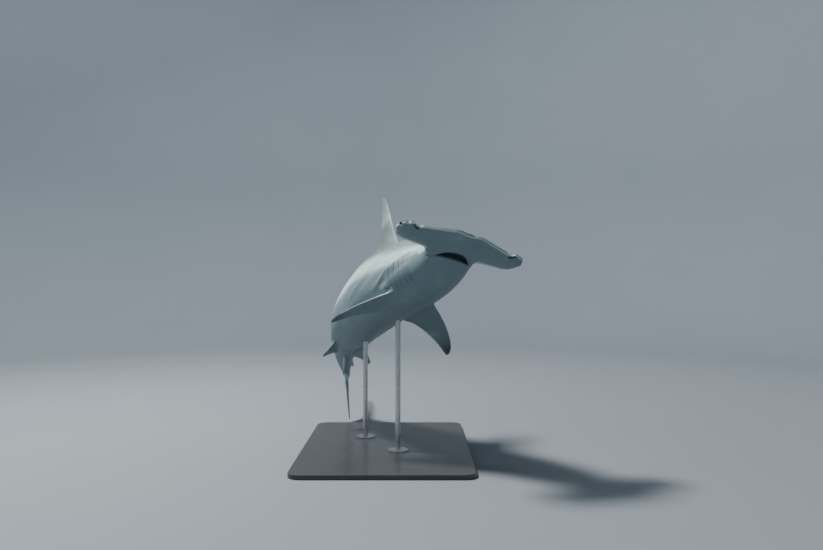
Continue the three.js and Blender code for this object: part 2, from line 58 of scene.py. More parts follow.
# The shark is shaped straight, then bent along its spine. On the straight one s runs back from
# the snout, l to the animal's left and u towards its back, all in metres. Shares are of length.
shark = {
    "length": 2.6,
    "snout": (0.421, -0.668, 1.153),
    "heading": 26.5,
    "climb": 23,
    "bank": -17,
    "steps": 400,
    "bends": [  # from, to, then degrees of turn to the left, lift and roll
        (0.07, 0.21, 17.5, 1.8, 7),
        (0.17, 0.4, -17.3, -1.4, -7.2),
        (0.36, 0.58, -9.6, -9.4, -3.1),
        (0.52, 0.75, -18, -3.4, 9.3),
    ],
}
length = shark["length"]


# Smooth curve through a table's rows that never overshoots
def curve(rows, column=1):
    x = np.array([row[0] for row in rows], float)
    y = np.array([row[column] for row in rows], float)
    step = np.diff(x)
    rise = np.diff(y) / step
    slope = np.concatenate([rise[:1], np.zeros(len(x) - 2), rise[-1:]])
    steady = rise[:-1] * rise[1:] > 0
    total = np.where(steady, rise[:-1] + rise[1:], 1)
    slope[1:-1] = np.where(steady, 2 * rise[:-1] * rise[1:] / total, 0)
    fine = np.linspace(x[0], x[-1], 3001)
    i = np.clip(np.searchsorted(x, fine, side="right") - 1, 0, len(step) - 1)
    t = (fine - x[i]) / step[i]
    values = (2 * t**3 - 3 * t**2 + 1) * y[i] + (3 * t**2 - 2 * t**3) * y[i + 1]
    values += ((t**3 - 2 * t**2 + t) * slope[i] + (t**3 - t**2) * slope[i + 1]) * step[i]
    return lambda at: np.interp(at, fine, values)


def ease(value, low, high):
    t = np.clip((value - low) / (high - low), 0, 1)
    return t * t * (3 - 2 * t)


# One between a value's rise and its fall, each a pair of limits, and zero outside them
def between(value, rise, fall):
    return ease(value, *rise) * (1 - ease(value, *fall))


# A smooth hump round zero
def hump(value, width):
    return np.exp(-((value / width) ** 2))


def turnAbout(vector):
    angle = np.linalg.norm(vector)
    if angle == 0:
        return np.eye(3)
    x, y, z = vector / angle
    cross = np.array([[0, -z, y], [z, 0, -x], [-y, x, 0]])
    return np.eye(3) + math.sin(angle) * cross + (1 - math.cos(angle)) * cross @ cross


def makeSpine():
    heading, climb = math.radians(shark["heading"]), math.radians(shark["climb"])
    flat = math.cos(climb)
    nose = np.array([math.sin(heading) * flat, -math.cos(heading) * flat, math.sin(climb)])
    left = np.array([math.cos(heading), math.sin(heading), 0])
    turn = np.stack([nose, left, np.cross(nose, left)], 1)
    turn = turn @ turnAbout(np.array([math.radians(shark["bank"]), 0, 0]))
    point = np.array(shark["snout"], float)
    points, turns = [], []
    steps = shark["steps"]
    for i in range(steps + 1):
        points.append(point.copy())
        turns.append(turn)
        share = (i + 0.5) / steps
        twist = np.zeros(3)
        for start, end, left, lift, roll in shark["bends"]:
            x = (share - start) / (end - start)
            if 0 < x < 1:
                weight = 2 * math.sin(math.pi * x) ** 2 / (end - start) / steps
                twist += np.radians([roll, lift, left]) * weight
        half = turnAbout(twist / 2)
        turn = turn @ half
        point = point - turn[:, 0] * length / steps
        turn = turn @ half
    return np.array(points), np.array(turns)


spinePoints, spineTurns = makeSpine()


def spineAt(s):
    at = np.clip(s / length * shark["steps"], 0, shark["steps"])
    i = np.minimum(at.astype(int), shark["steps"] - 1)
    k = (at - i)[..., None]
    point = spinePoints[i] * (1 - k) + spinePoints[i + 1] * k
    turn = spineTurns[i] * (1 - k[..., None]) + spineTurns[i + 1] * k[..., None]
    return point, turn, s - at / shark["steps"] * length


def onBody(s, l, u):
    s, l, u = np.broadcast_arrays(s, l, u)
    point, turn, beyond = spineAt(s)
    return point + np.einsum("...ij,...j->...i", turn, np.stack([-beyond, l, u], -1))


# A stiff piece keeps its shape and follows the spine only at one station
def stiffAt(station):
    i = round(station * shark["steps"])
    start = i / shark["steps"] * length

    def place(s, l, u):
        local = np.stack(np.broadcast_arrays(start - s, l, u), -1)
        return spinePoints[i] + local @ spineTurns[i].T

    return place


# Back from a point in the room to its place on the straight shark
def toBody(points):
    flat = points.reshape(-1, 3)
    s = np.empty(len(flat))
    for part in np.array_split(np.arange(len(flat)), max(1, len(flat) // 20000)):
        near = (spinePoints**2).sum(1) - 2 * flat[part] @ spinePoints.T
        s[part] = near.argmin(1) / shark["steps"] * length
    for _ in range(3):
        point, turn, _ = spineAt(s)
        local = np.einsum("...ji,...j->...i", turn, flat - point)
        s = s - local[:, 0]
    point, turn, beyond = spineAt(s)
    local = np.einsum("...ji,...j->...i", turn, flat - point)
    shape = points.shape[:-1]
    return s.reshape(shape), local[:, 1].reshape(shape), local[:, 2].reshape(shape)


# The trunk from snout to tail
trunk = {
    "sizes": [  # place, half width, height of the back, depth of the belly
        (0.02, 0.014, 0.005, 0.006),
        (0.04, 0.034, 0.013, 0.012),
        (0.055, 0.039, 0.018, 0.016),
        (0.07, 0.0425, 0.024, 0.0225),
        (0.085, 0.046, 0.031, 0.0325),
        (0.1, 0.049, 0.038, 0.042),
        (0.14, 0.056, 0.054, 0.056),
        (0.18, 0.0615, 0.067, 0.066),
        (0.22, 0.065, 0.0765, 0.0715),
        (0.27, 0.067, 0.0835, 0.0745),
        (0.32, 0.068, 0.086, 0.075),
        (0.38, 0.066, 0.0835, 0.0735),
        (0.44, 0.062, 0.077, 0.07),
        (0.5, 0.0555, 0.069, 0.061),
        (0.56, 0.0435, 0.055, 0.045),
        (0.62, 0.0285, 0.039, 0.029),
        (0.67, 0.0185, 0.029, 0.0215),
        (0.71, 0.0115, 0.024, 0.018),
        (0.74, 0.0055, 0.023, 0.012),
        (0.765, 0.0018, 0.025, 0.004),
    ],
    "widestDrop": 0.1,
    "roundness": 2.05,
    "seam": 0.134,  # where the head's mesh hands over to the trunk's
    "overlap": 0.012,
    "dive": 0.03,  # how steeply each goes under the other past the seam
    "end": 0.765,
    "sides": 208,
    "ringStep": 0.0062,
    "shade": (-0.15, 0.8),  # heights up the side between which the belly's colour gives way
}
halfWidth, backHeight, bellyDepth = (curve(trunk["sizes"], column) for column in (1, 2, 3))


def sectionPoint(share, angle, out):
    power = 2 / trunk["roundness"]
    c, v = np.cos(angle), np.sin(angle)
    widest = -trunk["widestDrop"] * bellyDepth(share) * length
    tall = np.where(v > 0, backHeight(share), bellyDepth(share)) * length
    tall = tall - np.sign(v) * widest
    l = np.sign(c) * np.abs(c) ** power * (halfWidth(share) * length + out)
    return l, widest + np.sign(v) * np.abs(v) ** power * (tall + out)


# Roughly how far a place on the straight shark lies out from the trunk's skin
def aboveTrunk(s, l, u):
    share = s / length
    widest = -trunk["widestDrop"] * bellyDepth(share) * length
    rise = u - widest
    above, below = backHeight(share) * length - widest, bellyDepth(share) * length + widest
    tall = np.where(rise > 0, above, below)
    power = trunk["roundness"]
    x, y = np.abs(l) / (halfWidth(share) * length), np.abs(rise) / tall
    level = np.maximum((x**power + y**power) ** (1 / power), 1e-4)
    away = np.hypot(l, rise) * (1 - 1 / level)
    return np.maximum(away, s - trunk["end"] * length)


shells = []  # every part of the skin: points, faces, places on the straight shark, and marks


def addShell(points, faces, marks):
    s, l, u = toBody(points)
    shells.append((points, faces, np.stack([s, l, u], -1), marks))


# Faces between rings of points, with a fan over each end
def ringFaces(rings, sides):
    a = (np.arange(rings - 1)[:, None] * sides + np.arange(sides)).ravel()
    b = (np.arange(rings - 1)[:, None] * sides + (np.arange(sides) + 1) % sides).ravel()
    return np.stack([a, b, b + sides, a + sides], -1)


def closedRings(points):
    rings, sides = points.shape[:2]
    flat = points.reshape(-1, 3)
    quads = ringFaces(rings, sides)
    hubs = np.stack([points[0].mean(0), points[-1].mean(0)])
    i = np.arange(sides)
    j = (i + 1) % sides
    last = (rings - 1) * sides
    first = np.stack([j, i, np.full(sides, len(flat))], -1)
    final = np.stack([last + i, last + j, np.full(sides, len(flat) + 1)], -1)
    return np.concatenate([flat, hubs]), quads.tolist() + first.tolist() + final.tolist()


# Faces turn over where the space that they hold comes out negative
def outwards(points, faces):
    a, b, c, d = (points[[face[k] for face in faces]] for k in (0, 1, 2, -1))
    volume = np.einsum("ij,ij->", a, np.cross(b, c) + np.cross(c, d))
    return faces if volume > 0 else [face[::-1] for face in faces]


# Head: a wing across the snout, in shares of its width, by place out from the middle
wing = {
    "width": 0.637,
    "drop": 0.008,
    "hindEdge": 0.004,  # thickness left at the back
    "sizes": [  # place out, front edge, hind edge, thickness
        (0, 0.0195, 0.42, 0.086),
        (0.05, 0.0195, 0.42, 0.086),
        (0.14, 0.0075, 0.42, 0.085),
        (0.2, 0.0085, 0.4, 0.083),
        (0.3, 0.026, 0.37, 0.08),
        (0.4, 0.042, 0.352, 0.076),
        (0.5, 0.06, 0.344, 0.072),
        (0.6, 0.076, 0.338, 0.068),
        (0.69, 0.089, 0.334, 0.066),
        (0.745, 0.11, 0.332, 0.063),
        (0.785, 0.108, 0.331, 0.063),
        (0.84, 0.084, 0.332, 0.067),
        (0.88, 0.083, 0.326, 0.068),
        (0.925, 0.101, 0.314, 0.066),
        (0.955, 0.105, 0.303, 0.064),
        (0.985, 0.121, 0.277, 0.056),
        (1, 0.157, 0.242, 0.04),
    ],
    "blend": 0.03,  # how softly it runs into the trunk
    "cell": 0.0021,
    # how far past the wing the box goes in which the head's surface is looked for
    "room": {"ahead": 0.006, "behind": 0.008, "right": 0.016, "left": 0.018, "height": 0.165},
}
mouth = {
    "front": 0.1326,
    "corner": 0.2054,
    "halfWidth": 0.091,
    "gape": 0.052,
    "roof": -0.014,
    "roofSlope": 0.018,  # how much lower the roof is at the corners
    "roofSoft": 0.012,
    "level": -0.045,
    "lean": 0.4,
    "edge": 0.004,
    "lip": 0.0045,
    "lipOut": 0.004,
    "lipWidth": 0.006,
    "lipThin": 0.45,  # how much lower the lip is at the corners
    "lipHeights": (0.02, 0.03),  # below the middle, between which the lips begin
    "lipPlaces": (0.05, 0.09),
    "lipEnd": 0.26,
    "lipFade": 0.03,
    "fold": 0.003,
    "foldOut": 0.017,
    "foldWidth": 0.005,
}
nostril = {
    "drop": 0.0165,
    "inset": 0.003,
    "slope": 0.85,
    "middle": 0.705,  # place out of the groove's middle, and how far it goes to either side
    "halfRange": 0.155,
    "edge": 0.002,
    "rim": 0.0035,
    "rimOut": 0.003,
    "rimWidth": 0.004,
    "flap": (0.72, 0.78),  # place out where the flap begins and is full
    "flapEnd": 0.88,
    "flapFade": 0.03,
    "sizes": [  # place out, and radius
        (0.55, 0.001),
        (0.67, 0.0026),
        (0.74, 0.004),
        (0.78, 0.0056),
        (0.825, 0.0056),
        (0.86, 0.0015),
    ],
}
eye = {
    "radius": 0.016,
    "out": 0.965,
    "back": 0.148,
    "forward": 32,  # degrees that it looks ahead of sideways
    "gap": 0.0003,
    "lid": 0.0042,
    "lidBlend": 0.012,
    "opening": 0.0125,
    "edge": 0.002,
    "bulge": 0.07,
    "rings": 40,
    "sides": 64,
}
wingFront, wingHind, wingThick = (curve(wing["sizes"], column) for column in (1, 2, 3))
nostrilRadius = curve(nostril["sizes"])
halfSpan = wing["width"] / 2
eyeBack, eyeAside = eye["back"] * wing["width"], eye["out"] * halfSpan
eyeTurn = math.radians(eye["forward"])
lookAhead, lookAside = math.sin(eyeTurn), math.cos(eyeTurn)
bladeNose = 2.204  # how blunt a blade's front is


# Half thickness of a blade at c, a share of the way back from its front edge
def bladeProfile(c, edge):
    swell = 2.969 * np.sqrt(c) - 1.26 * c - 3.516 * c**2 + 2.843 * c**3 - 1.036 * c**4
    return 0.5 * swell + edge * c


def softMin(a, b, reach):
    h = np.clip(0.5 + 0.5 * (b - a) / reach, 0, 1)
    return b + (a - b) * h - reach * h * (1 - h)


def softMax(a, b, reach):
    return -softMin(-a, -b, reach)


# Distance to where a smooth measure crosses zero, from its own slope in s, l and u
def asDistance(measure, s, l, u, least):
    small = 4e-4
    value = measure(s, l, u)
    slope = (measure(s + small, l, u) - value) ** 2
    slope = slope + (measure(s, l + small, u) - value) ** 2
    slope = slope + (measure(s, l, u + small) - value) ** 2
    return value / np.maximum(np.sqrt(slope) / small, least)


def wingMeasure(s, l, u):
    out = np.abs(l) / halfSpan
    inner = np.minimum(out, 1)
    front = wingFront(inner) * wing["width"]
    chord = wingHind(inner) * wing["width"] - front
    thick = wingThick(inner) * wing["width"]
    x = (s - front) / chord
    half = bladeProfile(np.clip(x, 0, 1), wing["hindEdge"] / thick / 2) * thick
    past = (np.maximum(x - 1, 0) * chord) ** 2
    room = half**2 + bladeNose * np.minimum(x, 0) * thick**2 - past
    return (u + wing["drop"]) ** 2 - room + np.maximum(np.abs(l) - halfSpan, 0) ** 2


def mouthMeasure(s, l, u):
    x = l / mouth["halfWidth"]
    middle = mouth["front"] + mouth["gape"] / 2
    line = middle + (mouth["corner"] - middle) * x**2
    half = mouth["gape"] / 2 * (1 - x**2)
    away = s - mouth["lean"] * (u - mouth["level"]) - line
    return away**2 - half * np.abs(half)


# The head before anything is cut into it: trunk, wing, brows, lips and the nostrils' flaps
def headForm(s, l, u):
    body = aboveTrunk(s, l, u) + np.maximum(trunk["sizes"][0][0] * length - s, 0)
    blade = asDistance(wingMeasure, s, l, u, 0.02)
    skin = softMin(body, blade, wing["blend"])
    side = np.abs(l)
    ball = np.sqrt((s - eyeBack) ** 2 + (side - eyeAside) ** 2 + (u + wing["drop"]) ** 2)
    skin = softMin(skin, ball - eye["radius"] - eye["lid"], eye["lidBlend"])
    ahead = -(s - eyeBack) * lookAhead + (side - eyeAside) * lookAside
    ring = np.sqrt(np.maximum(ball**2 - ahead**2, 0)) - eye["opening"]
    ring = softMax(ring, -ahead, eye["edge"])
    socket = softMin(ball - eye["radius"] - eye["gap"], ring, eye["edge"])
    crescent = asDistance(mouthMeasure, s, l, u, 0.004)
    below = ease(-u, *mouth["lipHeights"]) * ease(s, *mouth["lipPlaces"])
    below = below * ease(mouth["lipEnd"] - s, 0, mouth["lipFade"])
    edge = np.clip(side / mouth["halfWidth"], 0, 1.2)
    lips = mouth["lip"] * (1 - mouth["lipThin"] * edge)
    lips = lips * hump(crescent - mouth["lipOut"], mouth["lipWidth"])
    furrow = mouth["fold"] * edge**3 * hump(crescent - mouth["foldOut"], mouth["foldWidth"])
    skin = skin - below * (lips - furrow)
    roof = mouth["roof"] - mouth["roofSlope"] * edge**2
    opening = softMax(crescent, u - roof, mouth["roofSoft"])
    # the nostril's groove follows the front edge and is deepest under a flap near the eye
    out = side / halfSpan
    front = wingFront(np.minimum(out, 1)) * wing["width"]
    hole = np.hypot(s - front - nostril["inset"], u + nostril["drop"]) - nostrilRadius(out)
    beyond = np.maximum(np.abs(out - nostril["middle"]) - nostril["halfRange"], 0)
    hole = hole * nostril["slope"] + 0.5 * beyond * halfSpan
    flap = ease(out, *nostril["flap"]) * ease(nostril["flapEnd"] - out, 0, nostril["flapFade"])
    skin = skin - nostril["rim"] * flap * hump(hole - nostril["rimOut"], nostril["rimWidth"])
    return skin, opening, hole, socket


def headField(s, l, u):
    skin, opening, hole, socket = headForm(s, l, u)
    skin = softMax(skin, -opening, mouth["edge"])
    skin = softMax(skin, -hole, nostril["edge"])
    skin = softMax(skin, -socket, eye["edge"])
    seam = trunk["seam"] * length
    skin = skin + trunk["dive"] * np.maximum(s - seam, 0)
    return np.maximum(skin, s - seam - trunk["overlap"] * length)


# A mesh of small squares where a field crosses zero
def surfaceNet(field, low, high, cell):
    axes = [np.arange(a, b, cell) for a, b in zip(low, high)]
    aside, up = np.meshgrid(axes[1], axes[2], indexing="ij")
    value = np.stack([field(s + 0 * up, aside, up) for s in axes[0]])
    size = np.array(value.shape) - 1
    corners = [(i, j, k) for i in (0, 1) for j in (0, 1) for k in (0, 1)]
    shifted = [
        value[i : size[0] + i, j : size[1] + j, k : size[2] + k] for i, j, k in corners
    ]
    inside = sum((part < 0).astype(int) for part in shifted)
    mixed = (inside > 0) & (inside < 8)
    cells = np.argwhere(mixed)
    number = np.full(mixed.shape, -1)
    number[mixed] = np.arange(len(cells))
    held = np.stack([part[mixed] for part in shifted], -1)
    total, count = np.zeros((len(cells), 3)), np.zeros(len(cells))
    for a in range(8):
        for b in range(a + 1, 8):
            step = np.array(corners[b]) - np.array(corners[a])
            if np.abs(step).sum() != 1:
                continue
            cut = (held[:, a] < 0) != (held[:, b] < 0)
            t = np.where(cut, held[:, a] / np.where(cut, held[:, a] - held[:, b], 1), 0)
            total += np.where(cut[:, None], np.array(corners[a]) + t[:, None] * step, 0)
            count += cut
    points = np.array(low) + (cells + total / count[:, None]) * cell
    quads = []
    for d in range(3):
        ahead = np.take(value, range(1, value.shape[d]), d) < 0
        behind = np.take(value, range(value.shape[d] - 1), d) < 0
        at = np.argwhere(ahead != behind)
        e, f = (d + 1) % 3, (d + 2) % 3
        at = at[(at[:, e] > 0) & (at[:, f] > 0) & (at[:, e] < size[e]) & (at[:, f] < size[f])]
        toE, toF = np.eye(3, dtype=int)[e], np.eye(3, dtype=int)[f]
        ring = [number[tuple((at - shift).T)] for shift in (toE + toF, toF, 0 * toE, toE)]
        ring = np.stack(ring, -1)
        solid = behind[tuple(at.T)]
        quads.append(np.where(solid[:, None], ring, ring[:, ::-1]))
    return points, np.concatenate(quads)


# Moves points on to the field's zero level
def settle(field, points, rounds, most):
    small, flattest = 3e-4, 0.1
    for _ in range(rounds):
        s, l, u = points.T
        value = field(s, l, u)
        slope = np.stack(
            [field(s + small, l, u), field(s, l + small, u), field(s, l, u + small)], -1
        )
        slope = (slope - value[:, None]) / small
        step = slope * (value / np.maximum((slope**2).sum(1), flattest))[:, None]
        size = np.maximum(np.linalg.norm(step, axis=1) / most, 1)
        points = points - step / size[:, None]
    return points


def relax(points, quads, strength):
    start, end = np.concatenate([quads[:, [i, (i + 1) % 4]] for i in range(4)]).T
    total = [np.bincount(start, points[end, k], len(points)) for k in range(3)]
    count = np.bincount(start, minlength=len(points))
    return points + strength * (np.stack(total, -1) / np.maximum(count, 1)[:, None] - points)


# Marks for the skin's colours: how much back colour, how dusky, how deep inside (painted shade)
def marksOf(shade, dusk=0, inner=0):
    return np.stack(np.broadcast_arrays(shade, dusk, inner), -1).astype(float)


# Height up the side, for the belly's painted shade, the flank's painted light and the back's
# colour
def trunkShade(s, u):
    share = s / length
    height = u / (np.where(u > 0, backHeight(share), bellyDepth(share)) * length)
    return ease(height, *trunk["shade"])


headMarks = {
    # the wing's underside takes the belly's colour, which is painted shade
    "sideLine": (-0.012, 0.006),  # heights between which the wing's underside gives way
    "handOver": (0.2, 0.34),  # places between which the trunk's shade takes over
    # the mouth, nostrils and eye sockets darken inside: painted shade
    "mouth": ((-0.004, 0.003), (0.002, 0.016)),  # how far into the opening, and under the skin
    "nostril": ((-0.002, 0.001), (0.0015, 0.005)),
    "socket": ((-0.001, 0.001), (0.001, 0.006)),
}


def makeHead():
    room, seam = wing["room"], (trunk["seam"] + trunk["overlap"]) * length
    low = (-room["ahead"], -halfSpan - room["right"], -room["height"])
    high = (seam + room["behind"], halfSpan + room["left"], room["height"])
    points, quads = surfaceNet(headField, low, high, wing["cell"])
    for _ in range(3):
        points = relax(settle(headField, points, 2, wing["cell"]), quads, 0.5)
    points = settle(headField, points, 3, wing["cell"])
    s, l, u = points.T
    # painted shade: the wing's underside takes the belly's dark colour
    edge = ease(u + wing["drop"], *headMarks["sideLine"])
    shade = edge + (trunkShade(s, u) - edge) * ease(s, *headMarks["handOver"])
    skin, opening, hole, socket = headForm(s, l, u)
    inner = 0
    # painted shade deep in the mouth, nostrils and eye sockets
    for name, field in (("mouth", opening), ("nostril", hole), ("socket", socket)):
        into, under = headMarks[name]
        inner = np.maximum(inner, ease(-field, *into) * ease(-skin, *under))
    placed = onBody(s, l, u)
    faces = outwards(placed, quads.tolist())
    shells.append((placed, faces, points, marksOf(shade, 0, inner)))
    print("head made with", len(quads), "faces")


makeHead()

# Gills: five slits a side, each under the free hind edge of a low flap
gills = {
    "start": 0.138,
    "first": 0.152,
    "pitch": 0.0134,
    "slits": 5,
    "end": 0.222,
    "top": (0.38, 0.14),  # of the first slit and of the last, as shares of the section's height
    "bottom": (-0.7, -0.66),
    "bow": 0.012,
    "bowFade": 0.004,
    "bowTail": 0.01,
    "fullness": 0.6,
    "lead": 0.0016,  # how far the skin has risen where the rows below take over
    "leadFull": 0.014,
    "leadEnd": 0.017,
    "ringStep": 0.004,
    # slits darken with depth: painted shade
    "dark": (0.0015, 0.006),  # depths between which a slit turns dark
    "rows": [  # along the body from the flap's edge, shift along, and height, in millimetres
        (-14, 0, 2.0),
        (-10, 0, 2.6),
        (-6, 0, 3.3),
        (-3, 0, 3.8),
        (-1.6, 0.3, 4.0),
        (-0.8, 0.8, 3.4),
        (-0.2, 0.9, 2.2),
        (0.3, -0.6, 0.6),
        (0.7, -2.0, -2.2),
        (1.2, -2.4, -5.5),
        (2.0, -1.6, -7.6),
        (3.2, -0.6, -7.8),
        (4.2, 0, -5.6),
        (5.0, 0, -2.8),
        (6.2, 0, -1.2),
        (8.5, 0, -0.4),
        (13, 0, 0.2),
        (17, 0, 1.0),
    ],
}


def gillShare(s, angle):
    back = np.clip((s / length - gills["first"]) / gills["pitch"] / (gills["slits"] - 1), 0, 1)
    top = gills["top"][0] + (gills["top"][1] - gills["top"][0]) * back
    bottom = gills["bottom"][0] + (gills["bottom"][1] - gills["bottom"][0]) * back
    x = (np.sin(angle) - (top + bottom) / 2) / ((top - bottom) / 2)
    return np.clip(1 - x * x, 0, 1) ** gills["fullness"]


# Flanks: low ridges of muscle slant down them, two stronger streaks run back over the gills and
# past the pectoral fin, and a bulge of muscle stands before that fin
flanks = {
    "wave": 0.0011,
    "wavePitch": 0.4,
    "waveSlant": 7.0,
    "waveHeights": ((-0.4, 0.0), (0.7, 0.95)),  # where they rise and fade up the side
    "wavePlaces": ((0.42, 0.6), (0.95, 1.3)),  # and along it, in metres
    "streaks": [
        {
            "line": [  # place along the body, and height of the ridge as a share of the section
                (0.12, 0.42),
                (0.139, 0.33),
                (0.165, 0.28),
                (0.183, 0.21),
                (0.204, 0.1),
                (0.219, 0.02),
                (0.231, -0.14),
                (0.244, -0.29),
                (0.27, -0.45),
            ],
            "ridge": 0.0045,
            "ridgeWidth": 0.08,
            "trough": 0.003,
            "troughDrop": 0.24,
            "troughWidth": 0.13,
            "reach": ((0.134, 0.148), (0.232, 0.27)),
        },
        {
            "line": [
                (0.2, 0.9),
                (0.223, 0.66),
                (0.241, 0.45),
                (0.264, 0.28),
                (0.291, 0.03),
                (0.33, -0.22),
                (0.36, -0.4),
            ],
            "ridge": 0.0022,
            "ridgeWidth": 0.09,
            "trough": 0.0009,
            "troughDrop": 0.22,
            "troughWidth": 0.12,
            "reach": ((0.2, 0.24), (0.31, 0.36)),
        },
    ],
    "shoulder": {"rise": 0.01, "place": 0.229, "long": 0.011, "height": -0.48, "tall": 0.12},
}


# How far the muscles stand out of the plain section
def flankRise(s, angle):
    share, height = s / length, np.sin(angle)
    slant = (height + flanks["waveSlant"] * share) / flanks["wavePitch"]
    wave = np.sin(2 * math.pi * slant + 1.1 * np.sin(9 * s + 2 * height))
    wave = wave * (0.6 + 0.4 * np.sin(5.3 * s + 4 * height + np.sign(np.cos(angle))))
    wave = wave * between(height, *flanks["waveHeights"]) * between(s, *flanks["wavePlaces"])
    rise = flanks["wave"] * wave
    for streak in flanks["streaks"]:
        off = height - curve(streak["line"])(share)
        ridge = streak["ridge"] * hump(off, streak["ridgeWidth"])
        trough = streak["trough"] * hump(off + streak["troughDrop"], streak["troughWidth"])
        rise = rise + (ridge - trough) * between(share, *streak["reach"])
    shoulder = flanks["shoulder"]
    along = hump(share - shoulder["place"], shoulder["long"])
    return rise + shoulder["rise"] * along * hump(height - shoulder["height"], shoulder["tall"])


def trunkRings():
    rows = []  # s, shift and height of each ring, the last two times the gills' share
    seam = trunk["seam"] * length
    s = seam - trunk["overlap"] * length
    firstSlit = gills["first"] * length
    while s < firstSlit - gills["leadEnd"]:
        grown = float(ease(s, gills["start"] * length, firstSlit - gills["leadFull"]))
        rows.append((s, 0, gills["lead"] * grown))
        s += gills["ringStep"]
    for slit in range(gills["slits"]):
        edge = firstSlit + slit * gills["pitch"] * length
        rows += [(edge + at / 1000, shift / 1000, out / 1000) for at, shift, out in gills["rows"]]
    s = rows[-1][0] + gills["ringStep"]
    while s < gills["end"] * length:
        rows.append((s, 0, 0))
        s += gills["ringStep"]
    count = round((trunk["end"] * length - s) / trunk["ringStep"])
    rows += [(at, 0, 0) for at in np.linspace(s, trunk["end"] * length, count)]
    return np.array(rows)


def makeTrunk():
    rows = trunkRings()
    s, shift, out = (rows[:, k][:, None] for k in range(3))
    angle = 2 * math.pi * np.arange(trunk["sides"])[None] / trunk["sides"]
    share = gillShare(s, angle)
    firstSlit, lastSlit = gills["first"], gills["first"] + gills["pitch"] * (gills["slits"] - 1)
    rise = (gills["start"], firstSlit - gills["bowFade"])
    fall = (lastSlit + gills["bowFade"], gills["end"] + gills["bowTail"])
    bow = between(s / length, rise, fall) * gills["bow"]
    sink = trunk["dive"] * np.maximum(trunk["seam"] * length - s, 0)
    l, u = sectionPoint(s / length, angle, out * share - sink + flankRise(s, angle))
    at = s + (shift + bow) * share
    flat, faces = closedRings(onBody(at, l, u))
    # painted shade deep in the gill slits
    inner = ease(-out * share, *gills["dark"])
    marks = marksOf(trunkShade(at, u), 0, inner).reshape(-1, 3)
    marks = np.concatenate([marks, marks[:1], marks[-1:]])
    addShell(flat, outwards(flat, faces), marks)
    print("trunk made with", len(faces), "faces")


makeTrunk()

# Fins: rows give the place out along the fin, its front edge, its hind edge and its thickness,
# all in shares of the shark's length apart from the first, a share of the fin's own reach
fins = {
    "sides": 72,
    "levels": 90,
    "crowding": 1.5,  # towards the root, of the rings
    "hindEdge": 0.0025,
    "hindRound": 0.0025,
    "tipRound": 0.006,
    "tipClosed": 0.96,
    "sunk": (0.014, 0.008, 0.003),  # rings under the trunk's skin
    "searched": (-0.3, 0.95, 160),  # places out where the root is looked for, and how many
    "filletEnd": (0.72, 0.97),  # places back between which the root's flare ends
    "mostLift": 0.012,
    "blend": (0.003, 0.06),  # out from the trunk, between which the fin's own colours come in
    "blendShare": 0.35,  # most of a small fin's reach that they may take
}


def bladePoint(fin, c, side, v):
    inner = np.maximum(v, 0)
    front = fin["front"](inner) * length
    chord = fin["hind"](inner) * length - front
    thick = fin["thick"](inner) * length
    half = bladeProfile(c, fins["hindEdge"] / thick / 2) * thick
    soft = 1 - fins["hindRound"] / chord
    half = half * np.sqrt(1 - np.clip((c - soft) / (1 - soft), 0, 1) ** 2)
    tip = 1 - fins["tipRound"] / fin["reach"]
    half = half * np.sqrt(1 - np.clip((v - tip) / (1 - tip), 0, 1) ** 2 * fins["tipClosed"])
    return front + c * chord, side * half


def makeFin(name, fin, marks):
    for column, key in enumerate(("front", "hind", "thick")):
        fin[key] = curve(fin["rows"], column + 1)
    angle = 2 * math.pi * np.arange(fins["sides"]) / fins["sides"]
    c = (1 - np.cos(angle)) / 2
    side = np.where(np.abs(np.sin(angle)) < 1e-6, 0, np.sign(np.sin(angle)))
    reach = fin["reach"]
    # where each line up the fin leaves the trunk
    tries = np.linspace(*fins["searched"])[:, None]
    x, y = bladePoint(fin, c, side, tries)
    depth = aboveTrunk(*toBody(fin["place"](x, y, tries * reach)))
    under = depth < 0
    last = np.where(under.any(0), len(tries) - 1 - under[::-1].argmax(0), 0)
    last = np.minimum(last, len(tries) - 2)
    a, b = (np.take_along_axis(depth, (last + k)[None], 0)[0] for k in (0, 1))
    root = tries[last, 0] + (tries[1, 0] - tries[0, 0]) * np.clip(-a / (b - a + 1e-9), 0, 1)
    rise = np.linspace(0, 1, fins["levels"])[:, None] ** fins["crowding"]
    sunk = -np.array(fins["sunk"])[:, None] / reach
    v = np.concatenate([root + sunk, root + (1 - root) * rise])
    x, y = bladePoint(fin, c, side, v)
    height = v * reach
    away = aboveTrunk(*toBody(fin["place"](x, y, height)))
    # the root flares out to meet the trunk smoothly
    radius = fin["fillet"]
    near = np.clip(away / radius, 0, 1)
    push = radius * (1 - np.sqrt(1 - (1 - near) ** 2)) * (1 - ease(c, *fins["filletEnd"]))
    alongX = np.roll(x, -1, 1) - np.roll(x, 1, 1)
    alongY = np.roll(y, -1, 1) - np.roll(y, 1, 1)
    size = np.hypot(alongX, alongY) + 1e-9
    x, y = x - alongY / size * push, y + alongX / size * push
    for _ in range(3):
        now = aboveTrunk(*toBody(fin["place"](x, y, height)))
        lift = np.clip(now - away, -fins["mostLift"], fins["mostLift"])
        height = height - lift * (push > 1e-4)
    points = fin["place"](x, y, height)
    flat, faces = closedRings(points)
    made = np.broadcast_to(marks(c, v, y), v.shape + (3,)).copy()
    s, l, u = toBody(points)
    own = ease(away, fins["blend"][0], min(fins["blend"][1], fins["blendShare"] * reach))
    made[..., 0] = trunkShade(s, u) * (1 - own) + made[..., 0] * own
    made = made.reshape(-1, 3)
    made = np.concatenate([made, made[:1], made[-1:]])
    addShell(flat, outwards(flat, faces), made)
    print(name, "made with", len(faces), "faces")


def midlineFin(rows, reach, base, up, onPlace, fillet):
    def place(s, half, height):
        return onPlace(s, half, up * (base * length + height))

    return {"rows": rows, "reach": reach * length, "place": place, "fillet": fillet}


